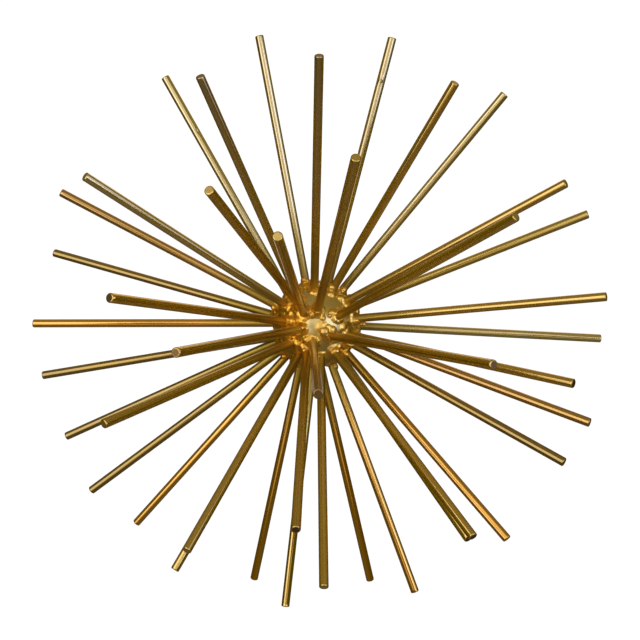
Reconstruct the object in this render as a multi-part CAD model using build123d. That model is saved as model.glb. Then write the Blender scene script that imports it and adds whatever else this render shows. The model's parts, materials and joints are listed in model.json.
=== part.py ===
from build123d import *
import math
import os
from typing import NamedTuple

# Wall-hung half-burst sculpture: straight round rods welded to one ball hub, all of them
# reaching out over the front half of the ball, with a keyhole hanger behind the ball.
#
# Frame: the wall is the plane y = 0 and the piece stands out of it towards -Y, +Z is up.
# The origin is the centre of the hanger plate's wall face. Millimetres and degrees.

# ---- Driving dimensions ----
REACH = 150.0                # ball centre to rod tip, for a rod cut to the usual length
ROD_DIAMETER = 4.3           # 4 mm rod under its gold coat
TIP_ROUND = 0.35             # broken edge round each sawn tip
BALL_DIAMETER = 45.0
BALL_TO_WALL = 26.0          # ball centre to wall
BALL_BACK_FLAT = 17.0        # ball centre to the flat ground on its back
BALL_POLE_TURN = (90, 0, 20)    # keeps the sphere's poles and seam clear of the rods' roots

BEAD_RADII = (3.3, 3.6, 3.45)   # weld beads at the rod roots, in the order they were run

COLLAR_OUTER_DIAMETER = 29.0
COLLAR_INNER_DIAMETER = 24.0
HANGER_BEAD_RADIUS = 1.3     # weld run round each end of the collar

PLATE_DIAMETER = 38.0
PLATE_THICKNESS = 2.5
PLATE_EDGE_ROUND = 0.5
KEYHOLE_ENTRY_DIAMETER = 9.5    # lets a No. 8 screw head through
KEYHOLE_SLOT_WIDTH = 4.8        # takes the screw's 4.2 mm shank
KEYHOLE_ENTRY_HEIGHT = -3.0
KEYHOLE_SEAT_HEIGHT = 6.0

CUTTER_RUN = 3.0             # length of a cutter, in times what it has to pass through

BALL_RADIUS = BALL_DIAMETER / 2
ROD_RADIUS = ROD_DIAMETER / 2
BALL_CENTRE = Vector(0, -BALL_TO_WALL, 0)
BALL_FLAT_Y = BALL_BACK_FLAT - BALL_TO_WALL


class Rod(NamedTuple):
    """One rod, as seen from in front of the wall.

    clock is the way its tip points round the ball, 0 up and 90 to the right, and lean is
    how far it leans away from straight out of the wall. A rod welded on a little off square
    has an axis that misses the ball's centre: by skew, clockwise, and by lift, wallwards.
    """

    clock: float
    lean: float
    skew: float = 0.0
    lift: float = 0.0
    reach: float = REACH


# ---- The four tiers of rods, from the wall outwards, each clockwise from the top ----
RODS = {
    "rim": [
        Rod(14.9, 83.5, skew=0.5, reach=151.5),
        Rod(38.7, 84.0, skew=-1.0, reach=152),
        Rod(66.6, 82.5, skew=-1.5),
        Rod(92.8, 92.5),
        Rod(159.0, 82.0),
        Rod(168.8, 95.5, skew=3.0),
        Rod(185.8, 81.0, skew=-0.5),
        Rod(193.8, 93.5, skew=4.0),
        Rod(221.7, 90.5, skew=0.5),
        Rod(233.3, 85.5, lift=-0.5, reach=151),
        Rod(245.3, 89.0, lift=1.5),
        Rod(259.0, 88.0, skew=-3.0, lift=-2.0),
        Rod(270.1, 86.0, skew=0.5),
        Rod(283.9, 95.5, skew=-1.5),
        Rod(297.5, 86.5, skew=-1.5),
        Rod(328.7, 88.5, skew=-5.5),
        Rod(349.1, 87.0, skew=-1.5, reach=151),
    ],
    "outer": [
        Rod(2.7, 61.5, skew=-1.5),
        Rod(29.4, 67.0, skew=-2.0),
        Rod(58.0, 68.0, skew=-3.0, reach=152),
        Rod(81.0, 68.0, skew=-1.0, reach=152.5),
        Rod(96.3, 54.0, skew=2.0, lift=-1.0),
        Rod(105.2, 64.0, skew=-1.5, lift=0.5, reach=152.5),
        Rod(114.1, 61.5),
        Rod(134.3, 63.5, skew=-2.0, reach=149),
        Rod(209.9, 66.5, skew=-0.5, reach=145.5),
        Rod(308.0, 57.5, skew=-0.5),
        Rod(338.7, 61.5, skew=-3.5),
    ],
    "inner": [
        Rod(16.0, 36.5, skew=-1.0, lift=-5.0),
        Rod(56.5, 47.5, skew=1.5, lift=-4.5),
        Rod(89.0, 33.0, skew=4.0, lift=-5.5),
        Rod(136.5, 48.0, skew=1.0, lift=-2.5),
        Rod(138.0, 49.5, lift=2.5, reach=147.5),
        Rod(174.0, 43.5, skew=-2.0),
        Rod(210.1, 41.5),
        Rod(252.0, 35.5, skew=-4.0),
        Rod(289.6, 33.5, skew=-2.0, lift=3.0),
        Rod(334.1, 32.5, skew=-2.0, lift=4.0),
    ],
    "centre": [
        Rod(122.0, 5.0, skew=7.0, lift=1.5),
        Rod(179.5, 27.0, skew=4.5, lift=1.5),
        Rod(279.4, 18.5, skew=-1.0, lift=-0.5),
        Rod(354.0, 21.5, skew=-5.0, lift=0.5),
    ],
}


def rod_axis(rod):
    """The rod's axis: its point nearest the ball's centre, its tip and its direction."""
    clock = math.radians(rod.clock)
    lean = math.radians(rod.lean)
    aim = Vector(math.sin(lean) * math.sin(clock), -math.cos(lean), math.sin(lean) * math.cos(clock))
    clockwise = Vector(math.cos(clock), 0, -math.sin(clock))
    wallwards = Vector(math.cos(lean) * math.sin(clock), math.sin(lean), math.cos(lean) * math.cos(clock))
    foot = BALL_CENTRE + clockwise * rod.skew + wallwards * rod.lift
    tip = BALL_CENTRE + aim * rod.reach
    return foot, tip, (tip - foot).normalized()


def rod_root(rod):
    """Where the rod's axis comes out of the ball."""
    foot, _, direction = rod_axis(rod)
    offset = foot - BALL_CENTRE
    along = offset.dot(direction)
    inside = math.sqrt(along ** 2 + BALL_RADIUS ** 2 - offset.dot(offset))
    return foot + direction * (inside - along)


def hub_ball():
    """The ball, with a flat ground on its back. Its poles and seam lie clear of the rods' roots."""
    ball = Pos(*BALL_CENTRE) * Sphere(BALL_RADIUS, rotation=BALL_POLE_TURN)
    behind = Pos(0, BALL_FLAT_Y, 0) * Box(
        BALL_DIAMETER, BALL_DIAMETER, BALL_DIAMETER, align=(Align.CENTER, Align.MIN, Align.CENTER)
    )
    return ball - behind


def rod_solid(rod, ball):
    """A rod with a broken edge at its sawn tip, coped to sit on the ball."""
    foot, tip, direction = rod_axis(rod)
    bar = Cylinder(
        ROD_RADIUS, (tip - foot).length, align=(Align.CENTER, Align.CENTER, Align.MIN)
    )
    bar = fillet(bar.edges().group_by(Axis.Z)[-1], TIP_ROUND)
    return Plane(origin=foot, z_dir=direction) * bar - ball


def weld_bead(rod, radius, ball, neighbours):
    """One rounded bead round a rod's root, run up against the ball and its neighbours."""
    _, _, direction = rod_axis(rod)
    bead = Sphere(radius) - Cylinder(ROD_RADIUS, CUTTER_RUN * radius)
    bead = Plane(origin=rod_root(rod), z_dir=direction) * bead - ball
    for neighbour in neighbours:
        bead -= neighbour
    return bead


def weld_beads(ball, bars):
    """Every tier's beads, each one clear of the other rods and of the beads laid before it."""
    tiers = {}
    laid = []
    for tier, rods in RODS.items():
        tiers[tier] = []
        for number, rod in enumerate(rods):
            radius = BEAD_RADII[number % len(BEAD_RADII)]
            root = rod_root(rod)
            near_bars = [bar for other, bar in bars if other != rod and bar.distance_to(root) < radius]
            near_beads = [bead for spot, size, bead in laid if (spot - root).length < size + radius]
            bead = weld_bead(rod, radius, ball, near_bars + near_beads)
            laid.append((root, radius, bead))
            tiers[tier].append(bead)
    return tiers


def turned(*points):
    """A ring turned about the piece's front-to-back axis from (radius, y) corners."""
    outline = Polyline(*points, close=True)
    return revolve(make_face(Plane.XY * outline), Axis.Y)


def collar():
    """Short tube between the ball's flat and the hanger plate, with room for a screw head."""
    inner = COLLAR_INNER_DIAMETER / 2
    outer = COLLAR_OUTER_DIAMETER / 2
    back = -PLATE_THICKNESS
    return turned((inner, BALL_FLAT_Y), (outer, BALL_FLAT_Y), (outer, back), (inner, back))


def keyhole_plate():
    """Round plate that lies on the wall, with a keyhole slot through it."""
    disc = Plane.XZ * Cylinder(
        PLATE_DIAMETER / 2, PLATE_THICKNESS, align=(Align.CENTER, Align.CENTER, Align.MIN)
    )
    disc = fillet(disc.edges().filter_by(GeomType.CIRCLE).group_by(Axis.Y)[0], PLATE_EDGE_ROUND)
    entry = Pos(0, 0, KEYHOLE_ENTRY_HEIGHT) * Cylinder(
        KEYHOLE_ENTRY_DIAMETER / 2, CUTTER_RUN * PLATE_THICKNESS, rotation=(90, 0, 0)
    )
    seat = Pos(0, 0, KEYHOLE_SEAT_HEIGHT) * Cylinder(
        KEYHOLE_SLOT_WIDTH / 2, CUTTER_RUN * PLATE_THICKNESS, rotation=(90, 0, 0)
    )
    slot = Pos(0, 0, KEYHOLE_ENTRY_HEIGHT) * Box(
        KEYHOLE_SLOT_WIDTH,
        CUTTER_RUN * PLATE_THICKNESS,
        KEYHOLE_SEAT_HEIGHT - KEYHOLE_ENTRY_HEIGHT,
        align=(Align.CENTER, Align.CENTER, Align.MIN),
    )
    return disc - entry - slot - seat


def hanger_weld(y, *neighbours):
    """A weld run round the outside of the collar, at its y place."""
    run = Pos(0, y, 0) * Torus(
        COLLAR_OUTER_DIAMETER / 2, HANGER_BEAD_RADIUS, rotation=(90, 0, 0)
    )
    for neighbour in neighbours:
        run -= neighbour
    return run


def main():
    os.makedirs("parts", exist_ok=True)
    ball = hub_ball()
    ring = collar()
    plate = keyhole_plate()
    parts = {
        "hub_ball": ball,
        "hanger_collar": ring,
        "keyhole_plate": plate,
        "hanger_weld_front": hanger_weld(BALL_FLAT_Y, ball, ring),
        "hanger_weld_back": hanger_weld(-PLATE_THICKNESS, plate, ring),
    }

    bars = []
    for tier, rods in RODS.items():
        for number, rod in enumerate(rods, start=1):
            bar = rod_solid(rod, ball)
            bars.append((rod, bar))
            parts[f"{tier}_rod_{number:02d}"] = bar

    for tier, beads in weld_beads(ball, bars).items():
        parts[f"{tier}_weld_beads"] = beads

    for name, shape in parts.items():
        solids = shape if isinstance(shape, list) else [shape]
        solids = [solid for piece in solids for solid in piece.solids()]
        export_step(Compound(label=name, children=solids), f"parts/{name}.step")


main()
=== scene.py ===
import json
import math
import random

import bmesh
import bpy
import numpy as np
from mathutils import Matrix, Vector, noise

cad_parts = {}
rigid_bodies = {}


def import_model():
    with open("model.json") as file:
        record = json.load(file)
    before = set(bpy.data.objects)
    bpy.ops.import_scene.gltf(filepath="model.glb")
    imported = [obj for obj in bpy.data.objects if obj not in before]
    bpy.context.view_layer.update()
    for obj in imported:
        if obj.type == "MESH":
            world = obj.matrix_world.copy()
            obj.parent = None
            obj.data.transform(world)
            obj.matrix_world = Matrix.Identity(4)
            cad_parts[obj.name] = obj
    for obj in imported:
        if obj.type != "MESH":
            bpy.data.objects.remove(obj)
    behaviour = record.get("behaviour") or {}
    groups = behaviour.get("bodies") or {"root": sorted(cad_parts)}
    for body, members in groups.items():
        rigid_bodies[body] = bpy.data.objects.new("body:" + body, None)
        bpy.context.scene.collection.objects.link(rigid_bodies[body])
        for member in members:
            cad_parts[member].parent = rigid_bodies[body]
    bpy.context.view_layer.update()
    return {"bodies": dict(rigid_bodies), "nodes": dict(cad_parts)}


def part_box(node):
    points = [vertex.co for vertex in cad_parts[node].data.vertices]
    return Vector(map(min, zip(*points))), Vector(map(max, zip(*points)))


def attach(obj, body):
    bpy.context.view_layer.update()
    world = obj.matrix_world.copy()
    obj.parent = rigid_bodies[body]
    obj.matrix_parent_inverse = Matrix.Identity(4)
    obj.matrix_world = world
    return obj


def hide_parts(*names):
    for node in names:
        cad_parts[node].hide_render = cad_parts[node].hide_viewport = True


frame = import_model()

# Gilt wall sculpture: straight rods welded to one ball. The rods, the ball, the weld beads and
# the hanger's weld runs are modelled here round the frame's own axes and centres, and the
# hanger's collar and plate are the frame's, with a finish of their own.

MM = 0.001
TIERS = ("rim", "outer", "inner", "centre")


# ---------------------------------------------------------------- reading the frame
def vertices_of(node_name):
    """The vertices of a CAD node, in the row frame."""
    return np.array([vertex.co for vertex in frame["nodes"][node_name].data.vertices])


BALL_LOW, BALL_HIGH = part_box("hub_ball")
BALL_RADIUS = (BALL_HIGH.x - BALL_LOW.x) / 2
BALL_CENTRE = Vector((0.0, BALL_LOW.y + BALL_RADIUS, 0.0))
BALL_FLAT_Y = BALL_HIGH.y
PLATE_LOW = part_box("keyhole_plate")[0]
COLLAR_LOW, COLLAR_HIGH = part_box("hanger_collar")
COLLAR_RADIUS = (COLLAR_HIGH.x - COLLAR_LOW.x) / 2
BODY = next(iter(frame["bodies"]))
ROD_NODES = sorted(name for name in frame["nodes"] if "_rod_" in name)


def direction_at(azimuth, elevation):
    """From the ball towards a place in front of it: azimuth to the right, elevation up, degrees."""
    turn, rise = math.radians(azimuth), math.radians(elevation)
    return Vector((math.sin(turn) * math.cos(rise), -math.cos(turn) * math.cos(rise), math.sin(rise)))


def circle_centre(points, direction):
    """The centre and radius of the circle nearest to points that lie round an axis."""
    side = Vector(direction).orthogonal().normalized()
    across = np.array([side, Vector(direction).cross(side)])
    flat = points @ across.T
    table = np.column_stack([2 * flat, np.ones(len(flat))])
    answer = np.linalg.lstsq(table, (flat ** 2).sum(1), rcond=None)[0]
    radius = math.sqrt(answer[2] + answer[0] ** 2 + answer[1] ** 2)
    along = (points @ np.array(direction)).mean() * np.array(direction)
    return along + answer[:2] @ across, radius


# Which of a CAD rod's vertices are near its tip and its root, by their distance from the tip,
# and how far inside the full radius a vertex of the round side may lie
NEAR_TIP = 3 * MM
NEAR_ROOT = 60 * MM
SIDE_SLACK = 0.05 * MM


class RodAxis:
    """A CAD rod's axis: tip, direction, radius and the distance from the tip to the ball."""

    def __init__(self, name):
        self.name = name
        self.tier = name.split("_")[0]
        points = vertices_of(name)
        middle = points.mean(0)
        direction = np.linalg.svd(points - middle, full_matrices=False)[2][0]
        if direction @ (middle - np.array(BALL_CENTRE)) < 0:
            direction = -direction
        along = points @ direction
        near_tip = points[along > along.max() - NEAR_TIP]
        near_root = points[along < along.max() - NEAR_ROOT]
        tip_centre, self.radius = circle_centre(near_tip[self.widest(near_tip, direction)], direction)
        root_centre, _ = circle_centre(near_root, direction)
        self.direction = Vector(tip_centre - root_centre).normalized()
        reach = max(self.direction.dot(Vector(point)) for point in points)
        start = Vector(tip_centre)
        self.tip = start + self.direction * (reach - self.direction.dot(start))
        to_centre = BALL_CENTRE - self.tip
        inwards = -to_centre.dot(self.direction)
        miss = to_centre.length_squared - inwards ** 2
        self.length = inwards - math.sqrt(BALL_RADIUS ** 2 - miss)
        self.root = self.tip - self.direction * self.length
        self.side = self.direction.cross(Vector((0, -1, 0))).normalized()
        self.front = self.side.cross(self.direction)

    @staticmethod
    def widest(points, direction):
        """The points that lie at the full radius, and not on the rounded edge."""
        middle = points.mean(0)
        offset = points - middle
        offset = offset - np.outer(offset @ direction, direction)
        distance = np.linalg.norm(offset, axis=1)
        return distance > distance.max() - SIDE_SLACK

    def place(self, height, radius, angle):
        """A point near the rod: height above the root, at a radius and an angle round it."""
        return (
            self.root
            + self.direction * height
            + self.side * (radius * math.cos(angle))
            + self.front * (radius * math.sin(angle))
        )


RODS = [RodAxis(name) for name in ROD_NODES]


# ---------------------------------------------------------------- mesh helpers
def new_piece(name, mesh, nodes, material):
    """Puts a mesh in the scene as a piece of the object, in place of some CAD nodes."""
    piece = bpy.data.objects.new(name, mesh)
    bpy.context.scene.collection.objects.link(piece)
    mesh.materials.clear()
    mesh.materials.append(material)
    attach(piece, BODY)
    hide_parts(*nodes)


def mesh_from_rings(name, rings):
    """A closed mesh through rings of equally many points, with a face across each end."""
    count = len(rings[0])
    points = [point for ring in rings for point in ring]
    faces = []
    for row in range(len(rings) - 1):
        for column in range(count):
            right = (column + 1) % count
            low, high = row * count, (row + 1) * count
            faces.append((low + column, low + right, high + right, high + column))
    last = (len(rings) - 1) * count
    faces.append(tuple(reversed(range(count))))
    faces.append(tuple(last + column for column in range(count)))
    mesh = bpy.data.meshes.new(name)
    mesh.from_pydata(points, [], faces)
    mesh.polygons.foreach_set("use_smooth", [True] * len(mesh.polygons))
    mesh.update()
    return mesh


def store_vectors(mesh, attribute_name, values):
    """Keeps one vector a vertex, for the materials to read."""
    attribute = mesh.attributes.new(attribute_name, "FLOAT_VECTOR", "POINT")
    attribute.data.foreach_set("vector", np.array(values, np.float32).ravel())


def store_values(mesh, attribute_name, values):
    """Keeps one number a vertex, for the materials to read."""
    attribute = mesh.attributes.new(attribute_name, "FLOAT", "POINT")
    attribute.data.foreach_set("value", np.array(values, np.float32))


def merged_blobs(name, blobs, voxel, smoothing):
    """One skin round many overlapping balls, as metal that has run together."""
    builder = bmesh.new()
    for centre, radius in blobs:
        bmesh.ops.create_icosphere(
            builder, subdivisions=2, radius=radius, matrix=Matrix.Translation(centre)
        )
    mesh = bpy.data.meshes.new(name)
    builder.to_mesh(mesh)
    builder.free()
    rough = bpy.data.objects.new(name, mesh)
    bpy.context.scene.collection.objects.link(rough)
    remesh = rough.modifiers.new("skin", "REMESH")
    remesh.mode = "VOXEL"
    remesh.voxel_size = voxel
    remesh.use_smooth_shade = True
    smooth = rough.modifiers.new("flow", "SMOOTH")
    smooth.factor = 0.5
    smooth.iterations = smoothing
    graph = bpy.context.evaluated_depsgraph_get()
    skin = bpy.data.meshes.new_from_object(rough.evaluated_get(graph))
    skin.name = name
    bpy.data.objects.remove(rough)
    return skin


def ripple(mesh, size, depth, seed):
    """Moves a mesh's points in and out along their normals by smooth noise."""
    shift = Vector((seed * 3.1, seed * 1.7, seed * 2.3))
    normals = [normal.vector.copy() for normal in mesh.vertex_normals]
    for vertex, normal in zip(mesh.vertices, normals):
        wave = noise.noise(vertex.co / size + shift) + 0.25 * noise.noise(vertex.co / size * 2.3 - shift)
        vertex.co += normal * (wave * depth)
    mesh.update()


# ---------------------------------------------------------------- materials
# The Mix node's sockets for colours: its factor and two colours, and its result
MIX_INPUTS = (0, 6, 7)
MIX_OUTPUT = 2


def set_stops(ramp, stops):
    """Gives a colour ramp its (place, colour) stops, where a colour may also be one grey value."""
    points = ramp.elements
    while len(points) < len(stops):
        points.new(0.5)
    for point, (place, colour) in zip(points, stops):
        point.position = place
        point.color = (*colour, 1.0) if isinstance(colour, tuple) else (colour,) * 3 + (1.0,)


class Nodes:
    """A short way to write a material's node tree."""

    def __init__(self, name):
        self.material = bpy.data.materials.new(name)
        self.material.use_nodes = True
        self.tree = self.material.node_tree
        self.shader = self.tree.nodes["Principled BSDF"]
        self.shader.inputs["Metallic"].default_value = 1.0

    def add(self, kind, **settings):
        node = self.tree.nodes.new(kind)
        for key, value in settings.items():
            setattr(node, key, value)
        return node

    def link(self, source, target):
        self.tree.links.new(source, target)

    def vector(self, attribute_name, scale):
        """A stored vector, or the object's own coordinates, stretched by a scale."""
        if attribute_name:
            source = self.add("ShaderNodeAttribute", attribute_name=attribute_name).outputs["Vector"]
        else:
            source = self.add("ShaderNodeTexCoord").outputs["Object"]
        mapping = self.add("ShaderNodeMapping")
        mapping.inputs["Scale"].default_value = scale
        self.link(source, mapping.inputs["Vector"])
        return mapping.outputs["Vector"]

    def stored_value(self, attribute_name):
        """A number that is kept for each vertex."""
        return self.add("ShaderNodeAttribute", attribute_name=attribute_name).outputs["Fac"]

    def noise(self, vector, scale, detail=3.0, roughness=0.55, distortion=0.0):
        node = self.add("ShaderNodeTexNoise")
        node.inputs["Scale"].default_value = scale
        node.inputs["Detail"].default_value = detail
        node.inputs["Roughness"].default_value = roughness
        node.inputs["Distortion"].default_value = distortion
        self.link(vector, node.inputs["Vector"])
        return node.outputs["Fac"]

    def ramp(self, value, *stops):
        """A colour ramp through (place, colour) stops."""
        node = self.add("ShaderNodeValToRGB")
        set_stops(node.color_ramp, stops)
        self.link(value, node.inputs["Fac"])
        return node.outputs["Color"]

    def mix(self, factor, first, second):
        """Two colours mixed; each of them is a colour or a node's output."""
        node = self.add("ShaderNodeMix", data_type="RGBA")
        for index, given in zip(MIX_INPUTS, (factor, first, second)):
            socket = node.inputs[index]
            if isinstance(given, bpy.types.NodeSocket):
                self.link(given, socket)
            else:
                socket.default_value = (*given, 1.0)
        return node.outputs[MIX_OUTPUT]

    def math(self, operation, first, second):
        node = self.add("ShaderNodeMath", operation=operation)
        for socket, given in zip(node.inputs, (first, second)):
            if isinstance(given, bpy.types.NodeSocket):
                self.link(given, socket)
            else:
                socket.default_value = given
        return node.outputs[0]

    def total(self, first, *others):
        """Numbers added up."""
        for other in others:
            first = self.math("ADD", first, other)
        return first

    def bump(self, *layers):
        """Bumps over each other, from (height, strength, distance in metres) layers."""
        normal = None
        for height, strength, distance in layers:
            node = self.add("ShaderNodeBump")
            node.inputs["Strength"].default_value = strength
            node.inputs["Distance"].default_value = distance
            self.link(height, node.inputs["Height"])
            if normal:
                self.link(normal, node.inputs["Normal"])
            normal = node.outputs["Normal"]
        self.link(normal, self.shader.inputs["Normal"])

    def finish(self, colour, roughness):
        self.link(colour, self.shader.inputs["Base Color"])
        self.link(roughness, self.shader.inputs["Roughness"])
        return self.material


# The coat's colours, with the colours of the painted shade by the ball and the painted warm light on the
# left welds
GOLD_WARM = (0.80, 0.50, 0.085)
GOLD_OLIVE = (0.70, 0.52, 0.085)
GOLD_DEEP = (0.60, 0.37, 0.030)
GOLD_PALE = (0.88, 0.66, 0.220)
GOLD_FIRED = (0.98, 0.56, 0.045)
GOLD_PAINTED_ROOT_SHADE = (0.44, 0.30, 0.015)
GOLD_DULL = (0.37, 0.26, 0.050)
GOLD_RED = (0.94, 0.48, 0.055)
GOLD_CREAM = (0.80, 0.61, 0.150)
GOLD_SILVERY = (0.80, 0.69, 0.235)
GOLD_GREY = (0.56, 0.42, 0.190)
GOLD_BROWN = (0.62, 0.36, 0.070)
GOLD_PAINTED_WARM_LIGHT = (0.92, 0.42, 0.012)
END_SOOTY = (0.16, 0.085, 0.020)

# Rods whose coat is duller, redder, browner or paler than on the others, chosen to match their
# tone in the photo, with the coat's colour and how strongly it shows
DULL_COATS = ("rim_rod_10", "rim_rod_11", "rim_rod_12", "rim_rod_14",
              "outer_rod_07", "centre_rod_01")
RED_COATS = ("rim_rod_05", "rim_rod_06", "rim_rod_08", "rim_rod_09", "rim_rod_13",
             "outer_rod_08")
BROWN_COATS = ("rim_rod_15", "outer_rod_06")
PALE_COATS = ("rim_rod_01", "rim_rod_02", "rim_rod_04", "rim_rod_16", "rim_rod_17",
              "outer_rod_10")
COAT_KINDS = (
    ("coat_dull", DULL_COATS, 0.9, GOLD_DULL),
    ("coat_red", RED_COATS, 0.8, GOLD_RED),
    ("coat_brown", BROWN_COATS, 0.9, GOLD_BROWN),
    ("coat_pale", PALE_COATS, 0.6, GOLD_SILVERY),
)
# Rods whose sawn end is dark, as if the coat didn't take on it
SOOTY_ENDS = ("inner_rod_03", "inner_rod_04", "inner_rod_05", "inner_rod_09", "outer_rod_05",
              "centre_rod_01", "centre_rod_02", "centre_rod_03")
SOOT_SHARE = 0.9
# Rods whose coat is greyer towards the tip
GREY_TIPS = ("outer_rod_01", "outer_rod_11")
GREY_TIP_SHARE = 0.75
# How far from the ball the painted shade on the rods reaches
PAINTED_ROOT_SHADE_LENGTH = 42 * MM


def rod_colour(make, lines, cloud, specks):
    """The rod's own coat, with clouds, drawn lines and specks, painted shade by the ball and sooty ends.
    """
    colour = make.mix(make.stored_value("rod_tone"), GOLD_OLIVE, GOLD_WARM)
    for attribute_name, _, _, coat in COAT_KINDS:
        colour = make.mix(make.stored_value(attribute_name), colour, coat)
    colour = make.mix(make.stored_value("coat_grey"), colour, GOLD_GREY)
    colour = make.mix(make.ramp(cloud, (0.40, 0.0), (0.72, 0.30)), colour, GOLD_DEEP)
    colour = make.mix(make.ramp(lines, (0.35, 0.0), (0.75, 0.06)), colour, GOLD_PALE)
    colour = make.mix(make.ramp(specks, (0.70, 0.0), (0.80, 0.08)), colour, GOLD_DEEP)
    # Painted shade: the rod is darker towards the ball, where the rods meet it
    painted_root_shade = make.ramp(make.stored_value("rod_height"), (0.0, 0.72), (0.55, 0.55), (1.0, 0.0))
    colour = make.mix(painted_root_shade, colour, GOLD_PAINTED_ROOT_SHADE)
    soot = make.math("MULTIPLY", make.stored_value("rod_cut"), make.stored_value("end_sooty"))
    return make.mix(soot, colour, END_SOOTY)


def rod_roughness(make, lines, cloud):
    """Bright along the rod, and duller on the sawn end and by the ball."""
    return make.total(
        make.ramp(lines, (0.25, 0.09), (0.80, 0.13)),
        make.ramp(cloud, (0.35, 0.0), (0.75, 0.06)),
        make.math("MULTIPLY", make.stored_value("rod_cut"), 0.24),
        make.ramp(make.stored_value("rod_height"), (0.0, 0.30), (0.5, 0.18), (1.0, 0.0)),
    )


def rod_material():
    """Bright gold coat on drawn rod: faint lines along the rod, an uneven tone, duller sawn ends."""
    make = Nodes("gold_rod_finish")
    lines = make.noise(make.vector("rod_space", (1.0, 1.0, 0.010)), 2600.0, detail=3.0, roughness=0.6)
    broad_lines = make.noise(make.vector("rod_space", (1.0, 1.0, 0.02)), 700.0, detail=2.0)
    cloud = make.noise(make.vector("rod_space", (1.0, 1.0, 0.35)), 70.0, detail=3.0, distortion=0.5)
    specks = make.noise(make.vector("rod_space", (1.0, 1.0, 0.6)), 900.0, detail=2.0)
    make.bump((broad_lines, 0.02, 0.00001), (lines, 0.015, 0.000006))
    return make.finish(rod_colour(make, lines, cloud, specks), rod_roughness(make, lines, cloud))


def ball_material():
    """Polished gold coat on the ball, with faint swirls and a soft tarnish."""
    make = Nodes("gold_ball_finish")
    space = make.vector(None, (1.0, 1.0, 1.0))
    cloud = make.noise(space, 85.0, detail=5.0, distortion=0.8)
    polish = make.noise(make.vector(None, (1.0, 0.25, 1.0)), 1400.0, detail=3.0, distortion=1.5)
    specks = make.noise(space, 1500.0, detail=2.0)
    colour = make.ramp(cloud, (0.28, GOLD_DEEP), (0.44, GOLD_CREAM), (0.70, GOLD_OLIVE))
    colour = make.mix(make.ramp(specks, (0.66, 0.0), (0.74, 0.7)), colour, GOLD_DEEP)
    rough = make.total(
        make.ramp(cloud, (0.3, 0.20), (0.7, 0.32)),
        make.ramp(polish, (0.3, 0.0), (0.8, 0.06)),
    )
    make.bump((cloud, 0.12, 0.0004), (polish, 0.06, 0.00003))
    return make.finish(colour, rough)


# Painted warm light, redder over the welds on the left: how strongly it shows, how far it has got at the
# middle, and over what distance it grows
PAINTED_WARM_LIGHT_STRENGTH = 0.65
PAINTED_WARM_LIGHT_START = 0.25
PAINTED_WARM_LIGHT_REACH = 14 * MM


def weld_material():
    """Gold coat over weld metal: painted highlights on the crests, painted shade in the folds, painted
    warm light on the left.
    """
    make = Nodes("gold_weld_finish")
    space = make.vector(None, (1.0, 1.0, 1.0))
    crest = make.add("ShaderNodeNewGeometry").outputs["Pointiness"]
    cloud = make.noise(space, 240.0, detail=4.0, distortion=0.5)
    grain = make.noise(space, 2600.0, detail=3.0)
    colour = make.ramp(cloud, (0.30, GOLD_DEEP), (0.46, GOLD_FIRED), (0.72, GOLD_WARM))
    # Painted highlight: paler on the crests, read from the surface's pointiness
    colour = make.mix(make.ramp(crest, (0.50, 0.0), (0.58, 0.75)), colour, GOLD_PALE)
    # Painted shade: darker in the folds, read from the surface's pointiness
    colour = make.mix(make.ramp(crest, (0.42, 0.85), (0.49, 0.0)), colour, GOLD_DEEP)
    # Painted warm light: the welds on the left are made redder, as if lit warmly from that side
    painted_warm_light = make.math("MULTIPLY", make.stored_value("weld_painted_warm_light"), PAINTED_WARM_LIGHT_STRENGTH)
    colour = make.mix(painted_warm_light, colour, GOLD_PAINTED_WARM_LIGHT)
    rough = make.total(
        make.ramp(cloud, (0.3, 0.20), (0.7, 0.32)),
        make.ramp(grain, (0.4, 0.0), (0.8, 0.06)),
    )
    make.bump((cloud, 0.12, 0.0002), (grain, 0.03, 0.00002))
    return make.finish(colour, rough)


def hanger_material():
    """Gold coat on turned and stamped sheet: rings of tool marks and rubbed edges."""
    make = Nodes("gold_hanger_finish")
    space = make.vector(None, (1.0, 1.0, 1.0))
    rings = make.add("ShaderNodeTexWave", wave_type="RINGS", rings_direction="Y")
    rings.inputs["Scale"].default_value = 420.0
    rings.inputs["Distortion"].default_value = 0.8
    rings.inputs["Detail"].default_value = 3.0
    make.link(space, rings.inputs["Vector"])
    turned = rings.outputs["Fac"]
    edge = make.add("ShaderNodeNewGeometry").outputs["Pointiness"]
    cloud = make.noise(space, 130.0, detail=5.0, distortion=0.7)
    scratch = make.noise(make.vector(None, (0.08, 1.0, 1.0)), 2400.0, detail=3.0)
    colour = make.ramp(cloud, (0.30, GOLD_DEEP), (0.50, GOLD_OLIVE), (0.70, GOLD_WARM))
    colour = make.mix(make.ramp(edge, (0.51, 0.0), (0.60, 0.9)), colour, GOLD_PALE)
    colour = make.mix(make.ramp(scratch, (0.62, 0.0), (0.72, 0.5)), colour, GOLD_PALE)
    rough = make.total(
        make.ramp(cloud, (0.3, 0.22), (0.7, 0.36)),
        make.ramp(scratch, (0.4, 0.0), (0.8, 0.12)),
    )
    make.bump((turned, 0.15, 0.00005), (scratch, 0.15, 0.00003), (cloud, 0.2, 0.0002))
    return make.finish(colour, rough)


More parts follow.
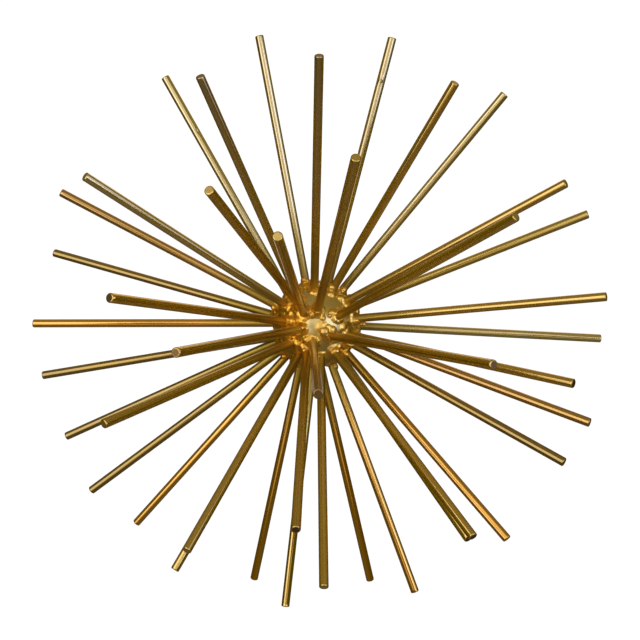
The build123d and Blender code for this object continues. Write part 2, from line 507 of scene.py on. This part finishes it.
# ---------------------------------------------------------------- rods
ROD_SEED = 100
ROD_SIDES = 40
ROD_RING_STEP = 1.3 * MM
ROD_SINK = 2.5 * MM          # how far a rod's skin goes on inside the ball
ROD_ANGLES = [math.tau * side / ROD_SIDES for side in range(ROD_SIDES)]
COAT_DEPTH = 0.012 * MM
COAT_WAVE = 6 * MM
EDGE_ROUND = 0.55 * MM
EDGE_STEPS = 5
EDGE_SAWN = 0.3              # how much of the sawn face's look the rounded edge takes on
SAW_TILT = 0.045             # the steepest slope of a sawn face
SAW_MARK_DEPTH = 0.012 * MM
SAW_MARK_WIDTH = 0.06 * MM
SAW_MARK_SHARE = 0.9         # the share of the radius that has saw marks
FACE_SHARES = (0.70, 0.60, 0.45, 0.30, 0.15, 0.04)
# A drip in the coat and a nick: the distance from the rod's tip, the angle round it and the height
BLEMISHES = {
    "rim_rod_01": (20.5 * MM, 1.7, 0.55 * MM),
    "rim_rod_16": (33.0 * MM, 0.8, -0.45 * MM),
}
BLEMISH_SIZE = 0.95 * MM


def coat_height(rod, height, angle, seed):
    """How far the gold coat stands above or below the rod's true radius at a place."""
    around = Vector((math.cos(angle), math.sin(angle), height / COAT_WAVE + seed))
    swell = noise.noise(around * 0.9) + 0.5 * noise.noise(around * 2.1)
    depth = COAT_DEPTH * swell
    if rod.name in BLEMISHES:
        from_tip, where, size = BLEMISHES[rod.name]
        along = (rod.length - from_tip - height) / BLEMISH_SIZE
        aside = math.remainder(angle - where, math.tau) * rod.radius / BLEMISH_SIZE
        depth += size * math.exp(-(along ** 2 + aside ** 2))
    return depth


def rod_rings(rod, seed, tilt, tilt_angle, saw_angle):
    """The rings of a rod's skin from its root to its sawn face, and how sawn each vertex is."""
    rings, cut = [], []

    def ring(height_at, radius_at, cut_value):
        rings.append([rod.place(height_at(angle), radius_at(angle), angle) for angle in ROD_ANGLES])
        cut.extend([cut_value] * ROD_SIDES)

    def saw_height(radius, angle):
        lean = tilt * radius * math.cos(angle - tilt_angle)
        mark = SAW_MARK_DEPTH * math.sin(radius * math.cos(angle - saw_angle) / SAW_MARK_WIDTH)
        marked = radius < rod.radius * SAW_MARK_SHARE
        return rod.length - tilt * rod.radius + lean + (mark if marked else 0.0)

    start = -ROD_SINK
    shank = rod.length - EDGE_ROUND - 2 * tilt * rod.radius
    steps = round((shank - start) / ROD_RING_STEP)
    for step in range(steps + 1):
        height = start + (shank - start) * step / steps
        ring(
            lambda angle: height,
            lambda angle: rod.radius + coat_height(rod, height, angle, seed),
            0.0,
        )
    for step in range(EDGE_STEPS + 1):
        turn = math.pi / 2 * step / EDGE_STEPS
        inset = EDGE_ROUND * (1 - math.cos(turn))
        drop = EDGE_ROUND * (1 - math.sin(turn))
        ring(
            lambda angle: saw_height(rod.radius, angle) - drop,
            lambda angle: rod.radius - inset + coat_height(rod, rod.length, angle, seed) * math.cos(turn),
            EDGE_SAWN * step / EDGE_STEPS,
        )
    for share in FACE_SHARES:
        ring(
            lambda angle: saw_height(rod.radius * share, angle),
            lambda angle: rod.radius * share,
            1.0,
        )
    return rings, cut


def store_rod_finish(mesh, rod, rings, cut, seed, tone):
    """Keeps what the rod's material reads: a space along the rod, its tone, coat and sawn end."""
    count = len(mesh.vertices)
    shift = Vector((0.0, 0.0, seed))
    space = []
    for row in rings:
        for point, angle in zip(row, ROD_ANGLES):
            height = (point - rod.root).dot(rod.direction)
            radius = (point - rod.root - rod.direction * height).length
            space.append(Vector((radius * math.cos(angle), radius * math.sin(angle), height)) + shift)
    heights = [place.z - seed for place in space]
    store_vectors(mesh, "rod_space", space)
    store_values(mesh, "rod_tone", [tone] * count)
    for attribute_name, coats, strength, _ in COAT_KINDS:
        store_values(mesh, attribute_name, [strength if rod.name in coats else 0.0] * count)
    store_values(mesh, "end_sooty", [SOOT_SHARE if rod.name in SOOTY_ENDS else 0.0] * count)
    # Height along the rod in lengths of the painted shade by the ball: it sets the painted shade there and
    # the duller roughness
    store_values(mesh, "rod_height", [height / PAINTED_ROOT_SHADE_LENGTH for height in heights])
    greyness = GREY_TIP_SHARE if rod.name in GREY_TIPS else 0.0
    store_values(mesh, "coat_grey", [greyness * max(0.0, height / rod.length) for height in heights])
    store_values(mesh, "rod_cut", cut)


def rod_piece(rod, number, material):
    """One rod: a slightly uneven coat, a rounded edge and a sawn face that isn't quite square."""
    draw = random.Random(ROD_SEED + number)
    seed = draw.uniform(0, 50)
    tilt_angle = draw.uniform(0, math.tau)
    tilt = draw.uniform(0.3, 1.0) * SAW_TILT
    saw_angle = draw.uniform(0, math.pi)
    tone = draw.uniform(0.15, 0.95)
    rings, cut = rod_rings(rod, seed, tilt, tilt_angle, saw_angle)
    mesh = mesh_from_rings(rod.name + "_gilt", rings)
    store_rod_finish(mesh, rod, rings, cut, seed, tone)
    new_piece(rod.name + "_gilt", mesh, [rod.name], material)


# ---------------------------------------------------------------- ball
BALL_SEGMENTS = 192
BALL_RINGS = 120
BALL_DENT = 0.16 * MM        # the undulation's mean depth
BALL_WAVE = 6 * MM
BALL_RIPPLE = 2.8 * MM
# Rings close inside the rim of the ground flat, which keep it crisp under smooth shading
FLAT_EDGE = 0.4 * MM
FLAT_INSETS = (0.25, 0.7, 1.5)
FLAT_SHARES = (0.9, 0.7, 0.45, 0.2, 0.05)


def ball_profile():
    """Radius and height of the ball's rings, from its front to the middle of its ground flat."""
    flat_height = BALL_FLAT_Y - BALL_CENTRE.y
    last = math.acos(-flat_height / BALL_RADIUS)
    profile = []
    for row in range(1, BALL_RINGS + 1):
        turn = last * row / BALL_RINGS
        profile.append((BALL_RADIUS * math.sin(turn), -BALL_RADIUS * math.cos(turn)))
    flat_radius = profile[-1][0]
    for inset in FLAT_INSETS:
        profile.append((flat_radius - inset * FLAT_EDGE, flat_height))
    for share in FLAT_SHARES:
        profile.append((flat_radius * share, flat_height))
    return profile


def ball_piece(material):
    """The ball, turned about the wall's normal, with a slight undulation in its skin."""
    rings = []
    for radius, height in ball_profile():
        row = []
        for segment in range(BALL_SEGMENTS):
            angle = -math.tau * segment / BALL_SEGMENTS
            row.append(BALL_CENTRE + Vector((radius * math.cos(angle), height, radius * math.sin(angle))))
        rings.append(row)
    mesh = mesh_from_rings("hub_ball_gilt", rings)
    for vertex in mesh.vertices:
        out = vertex.co - BALL_CENTRE
        # The ground flat lies further in, and stays as it is
        if out.length > BALL_RADIUS * 0.999:
            wave = noise.noise(vertex.co / BALL_WAVE) + 0.3 * noise.noise(vertex.co / BALL_RIPPLE)
            vertex.co -= out.normalized() * (BALL_DENT * (1 + wave))
    mesh.update()
    new_piece("hub_ball_gilt", mesh, ["hub_ball"], material)


# ---------------------------------------------------------------- weld beads
WELD_SEED = 40
WELD_VOXEL = 0.28 * MM
WELD_SMOOTHING = 26
WELD_RIPPLE_SIZE = 3.6 * MM
WELD_RIPPLE_DEPTH = 0.22 * MM
SKIRT = 0.7 * MM             # metal this far above the ball is drawn down to half of it, lower metal more
# The drops of metal in a bead, as ranges in mm: the ring round the rod, the lumps on it, the drops
# that climb the rod, and the stray drop that some rods have beside them
RING_DROPS = 10
RING_SIZES, RING_RISES = (2.1, 2.4), (1.1, 1.6)
LUMP_SIZES, LUMP_RISES = (2.5, 3.4), (1.7, 2.6)
CLIMB_SIZES, CLIMB_HEIGHTS = (2.0, 2.6), (1.4, 2.6)
STRAY_SIZES, STRAY_DISTANCES = (1.6, 2.2), (3.8, 5.4)
STRAY_CHANCE = 0.3
# Spatter on the ball's front, and metal run between the beads on its left: azimuth and
# elevation in degrees, drop radius and rise in mm
SPATTER = (
    (11, 4, 5.0, 1.20),
    (22, 18, 1.4, 2.00),
    (43, 1, 4.5, 1.10),
    (-22, 12, 4.5, 1.20),
    (-24, -9, 4.8, 1.35),
    (-31, 29, 4.6, 1.25),
    (-40, 9, 4.8, 1.40),
    (-37, -24, 4.6, 1.30),
    (-47, -8, 4.6, 1.25),
    (-56, 18, 4.8, 1.35),
    (-62, -20, 4.6, 1.20),
    (-66, 3, 4.8, 1.30),
    (-14, -40, 4.4, 1.15),
)


def on_ball(point, above=0.0):
    """The point on the ball's skin nearest to a point, or a little above it."""
    return BALL_CENTRE + (point - BALL_CENTRE).normalized() * (BALL_RADIUS + above)


def bead_blobs(rod, draw):
    """The balls of metal that make one flowing bead round a rod's root, with a drop near some."""
    blobs = []
    for step in range(RING_DROPS):
        angle = math.tau * (step + draw.uniform(-0.2, 0.2)) / RING_DROPS
        size = draw.uniform(*RING_SIZES) * MM
        rise = draw.uniform(*RING_RISES) * MM
        blobs.append((on_ball(rod.place(0.0, rod.radius + 0.15 * size, angle), above=rise - size), size))
    for _ in range(draw.randint(2, 3)):
        angle = draw.uniform(0, math.tau)
        size = draw.uniform(*LUMP_SIZES) * MM
        rise = draw.uniform(*LUMP_RISES) * MM
        blobs.append((on_ball(rod.place(0.0, rod.radius + 0.35 * size, angle), above=rise - size), size))
    for _ in range(draw.randint(1, 2)):
        angle = draw.uniform(0, math.tau)
        size = draw.uniform(*CLIMB_SIZES) * MM
        height = draw.uniform(*CLIMB_HEIGHTS) * MM
        blobs.append((rod.place(height, rod.radius - 0.45 * size, angle), size))
    if draw.random() < STRAY_CHANCE:
        angle = draw.uniform(0, math.tau)
        size = draw.uniform(*STRAY_SIZES) * MM
        distance = draw.uniform(*STRAY_DISTANCES) * MM
        blobs.append((on_ball(rod.place(0.0, distance, angle), above=-0.3 * size), size))
    return blobs


def flow_onto_ball(mesh):
    """Draws the metal's edge out into a skirt that meets the ball without a step."""
    for vertex in mesh.vertices:
        out = vertex.co - BALL_CENTRE
        above = out.length - BALL_RADIUS
        if above > 0.0:
            vertex.co = BALL_CENTRE + out.normalized() * (BALL_RADIUS + above ** 2 / (above + SKIRT))
    mesh.update()


def spatter_blobs():
    """Flat drops of weld metal that landed on the ball between the beads."""
    blobs = []
    for azimuth, elevation, size, rise in SPATTER:
        from_centre = BALL_RADIUS + (rise - size) * MM
        blobs.append((BALL_CENTRE + direction_at(azimuth, elevation) * from_centre, size * MM))
    return blobs


def weld_piece(tier, number, material):
    """A tier's weld beads, as one rough skin."""
    draw = random.Random(WELD_SEED + number)
    blobs = spatter_blobs() if tier == "centre" else []
    for rod in RODS:
        if rod.tier == tier:
            blobs += bead_blobs(rod, draw)
    mesh = merged_blobs(tier + "_weld_gilt", blobs, WELD_VOXEL, WELD_SMOOTHING)
    flow_onto_ball(mesh)
    ripple(mesh, WELD_RIPPLE_SIZE, WELD_RIPPLE_DEPTH, number + 1)
    # How much of the painted warm light each vertex takes, growing towards the left
    painted_warm_light = [min(1.0, max(0.0, PAINTED_WARM_LIGHT_START - vertex.co.x / PAINTED_WARM_LIGHT_REACH)) for vertex in mesh.vertices]
    store_values(mesh, "weld_painted_warm_light", painted_warm_light)
    new_piece(tier + "_weld_gilt", mesh, [tier + "_weld_beads"], material)


# ---------------------------------------------------------------- hanger
HANGER_WELD_SEED = 71
HANGER_WELD_VOXEL = 0.18 * MM
HANGER_WELD_SMOOTHING = 1
DROP_SPACING = 0.75          # from drop to drop, in radii of the weld run
WALL_GAP = 0.4 * MM          # the least distance from the weld metal to the wall


def hanger_weld_piece(node, at_y, seed, material):
    """A weld run round the collar, laid as overlapping drops."""
    draw = random.Random(seed)
    low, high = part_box(node)
    bead = (high.x - low.x) / 2 - COLLAR_RADIUS
    blobs = []
    count = round(math.tau * COLLAR_RADIUS / (DROP_SPACING * bead))
    for step in range(count):
        angle = math.tau * (step + draw.uniform(-0.15, 0.15)) / count
        size = bead * draw.uniform(0.80, 0.97)
        radius = COLLAR_RADIUS + bead - size
        blobs.append((Vector((radius * math.cos(angle), at_y, radius * math.sin(angle))), size))
    mesh = merged_blobs(node + "_gilt", blobs, HANGER_WELD_VOXEL, HANGER_WELD_SMOOTHING)
    for vertex in mesh.vertices:
        vertex.co.y = min(vertex.co.y, -WALL_GAP)
    mesh.update()
    new_piece(node + "_gilt", mesh, [node], material)


def hanger_finish(material):
    """The frame's own collar and plate, in the hanger's finish."""
    for name in ("hanger_collar", "keyhole_plate"):
        node = frame["nodes"][name]
        node.data.materials.clear()
        node.data.materials.append(material)
        for slot in node.material_slots:
            slot.material = material


# ---------------------------------------------------------------- building
rod_finish = rod_material()
ball_finish = ball_material()
weld_finish = weld_material()
for rod_number, rod_axis in enumerate(RODS):
    rod_piece(rod_axis, rod_number, rod_finish)
ball_piece(ball_finish)
for tier_number, tier_name in enumerate(TIERS):
    weld_piece(tier_name, tier_number, weld_finish)
hanger_weld_piece("hanger_weld_front", BALL_FLAT_Y, HANGER_WELD_SEED, weld_finish)
hanger_weld_piece("hanger_weld_back", PLATE_LOW.y, HANGER_WELD_SEED + 1, weld_finish)
hanger_finish(hanger_material())


# ---------------------------------------------------------------- camera, light and floor
CAMERA_AZIMUTH = 4.0
CAMERA_ELEVATION = 8.0
CAMERA_DISTANCE = 0.5769
CAMERA_LENS = 61.3
AIM_RIGHT = 1.8 * MM
AIM_UP = 2.0 * MM


def make_camera():
    """The camera, a little to the right of the ball and above it, and aimed just past it."""
    back = direction_at(CAMERA_AZIMUTH, CAMERA_ELEVATION)
    turn = math.radians(CAMERA_AZIMUTH)
    right = Vector((math.cos(turn), math.sin(turn), 0.0))
    up = back.cross(right)
    camera = bpy.data.objects.new("camera", bpy.data.cameras.new("camera"))
    bpy.context.scene.collection.objects.link(camera)
    camera.data.lens = CAMERA_LENS
    camera.location = BALL_CENTRE + back * CAMERA_DISTANCE
    aim = BALL_CENTRE + right * AIM_RIGHT + up * AIM_UP
    camera.rotation_euler = (aim - camera.location).to_track_quat("-Z", "Y").to_euler()
    bpy.context.scene.camera = camera


LIGHT_DISTANCE = 0.75
LIGHT_WATTS = 4              # for each square metre of a light, at brightness 1


def soft_light(name, azimuth, elevation, width, height, brightness, colour):
    """A soft box round the ball: where it hangs and how wide it looks, in degrees."""
    data = bpy.data.lights.new(name, "AREA")
    data.shape = "RECTANGLE"
    data.size = 2 * LIGHT_DISTANCE * math.tan(math.radians(width / 2))
    data.size_y = 2 * LIGHT_DISTANCE * math.tan(math.radians(height / 2))
    data.energy = LIGHT_WATTS * data.size * data.size_y * brightness
    data.color = colour
    light = bpy.data.objects.new(name, data)
    bpy.context.scene.collection.objects.link(light)
    out = direction_at(azimuth, elevation)
    light.location = BALL_CENTRE + out * LIGHT_DISTANCE
    light.rotation_euler = out.to_track_quat("Z", "Y").to_euler()
    light.visible_camera = False


def make_lights():
    """Two bright soft boxes in front and dimmer ones all round, which show only in the metal."""
    soft_light("window_left", -34, 12, 38, 52, 1.10, (1.0, 1.0, 2.15))
    soft_light("window_right", 42, 5, 26, 32, 1.25, (0.92, 1.10, 3.2))
    soft_light("room_right", 68, 12, 18, 44, 0.50, (0.80, 1.02, 3.0))
    soft_light("room_high", 8, 27, 36, 38, 0.55, (1.0, 0.99, 2.05))
    soft_light("room_front", 6, 1, 24, 16, 0.62, (1.0, 1.02, 2.0))
    soft_light("room_low", 2, -22, 50, 18, 0.38, (1.0, 0.88, 1.3))
    soft_light("room_behind", 174, 32, 40, 34, 0.55, (1.0, 0.90, 1.15))
    soft_light("room_behind_low", 186, -8, 40, 24, 0.42, (1.0, 0.88, 1.10))


# The room's colours by height, from straight down to straight up
ROOM_TONES = (
    (0.0, (0.17, 0.155, 0.20)),
    (0.30, (0.11, 0.09, 0.0)),
    (0.50, (0.10, 0.08, 0.0)),
    (0.68, (0.21, 0.19, 0.05)),
    (1.0, (0.34, 0.285, 0.30)),
)
# How bright the room is in front and by the wall, and how large a direction's y is at either
ROOM_FRONT, ROOM_WALL = 1.05, 0.75
ROOM_CHANGE = 0.6


def make_world():
    """A dim warm room for the metal to reflect, lighter above than below and darkest by the wall."""
    world = bpy.data.worlds.new("room")
    bpy.context.scene.world = world
    world.use_nodes = True
    tree = world.node_tree
    background = tree.nodes["Background"]
    place = tree.nodes.new("ShaderNodeTexCoord")
    split = tree.nodes.new("ShaderNodeSeparateXYZ")
    lift = tree.nodes.new("ShaderNodeMapRange")
    lift.inputs["From Min"].default_value = -1.0
    ramp = tree.nodes.new("ShaderNodeValToRGB")
    set_stops(ramp.color_ramp, ROOM_TONES)
    tree.links.new(place.outputs["Generated"], split.inputs["Vector"])
    tree.links.new(split.outputs["Z"], lift.inputs["Value"])
    tree.links.new(lift.outputs["Result"], ramp.inputs["Fac"])
    depth = tree.nodes.new("ShaderNodeMapRange")
    depth.inputs["From Min"].default_value = -ROOM_CHANGE
    depth.inputs["From Max"].default_value = ROOM_CHANGE
    depth.inputs["To Min"].default_value = ROOM_FRONT
    depth.inputs["To Max"].default_value = ROOM_WALL
    tree.links.new(split.outputs["Y"], depth.inputs["Value"])
    tree.links.new(depth.outputs["Result"], background.inputs["Strength"])
    tree.links.new(ramp.outputs["Color"], background.inputs["Color"])


FLOOR_HEIGHT = -0.32
FLOOR_RADIUS = 3.0
CURVE_RADIUS = 3.0           # of the paper's bend from the floor up into the dome
CURVE_STEP = 15              # degrees
DOME_RINGS = ((5.5, 5.0), (4.0, 7.0), (0.5, 8.0))    # radius, and height above the floor
PAPER_SIDES = 64
PAPER_GLOW = 1.05


def backdrop_material():
    """White paper that glows by itself, so that the lights don't change it."""
    material = bpy.data.materials.new("white_paper")
    material.use_nodes = True
    tree = material.node_tree
    tree.nodes.remove(tree.nodes["Principled BSDF"])
    glow = tree.nodes.new("ShaderNodeEmission")
    glow.inputs["Color"].default_value = (1.0, 1.0, 1.0, 1.0)
    glow.inputs["Strength"].default_value = PAPER_GLOW
    tree.links.new(glow.outputs["Emission"], tree.nodes["Material Output"].inputs["Surface"])
    return material


def make_backdrop():
    """A white paper floor that curves up into a white dome, which the metal doesn't reflect."""
    profile = [(0.5, 0.0), (FLOOR_RADIUS, 0.0)]
    for degrees in range(CURVE_STEP, 91, CURVE_STEP):
        turn = math.radians(degrees)
        radius = FLOOR_RADIUS + CURVE_RADIUS * math.sin(turn)
        profile.append((radius, CURVE_RADIUS * (1 - math.cos(turn))))
    profile.extend(DOME_RINGS)
    rings = []
    for radius, height in profile:
        row = []
        for side in range(PAPER_SIDES):
            angle = math.tau * side / PAPER_SIDES
            row.append(Vector((radius * math.cos(angle), radius * math.sin(angle), FLOOR_HEIGHT + height)))
        rings.append(row)
    mesh = mesh_from_rings("studio_paper", rings)
    paper = bpy.data.objects.new("studio_paper", mesh)
    bpy.context.scene.collection.objects.link(paper)
    mesh.materials.append(backdrop_material())
    paper.visible_glossy = False
    paper.visible_diffuse = False
    paper.visible_shadow = False


make_camera()
make_lights()
make_world()
make_backdrop()
bpy.context.scene.view_settings.view_transform = "Standard"
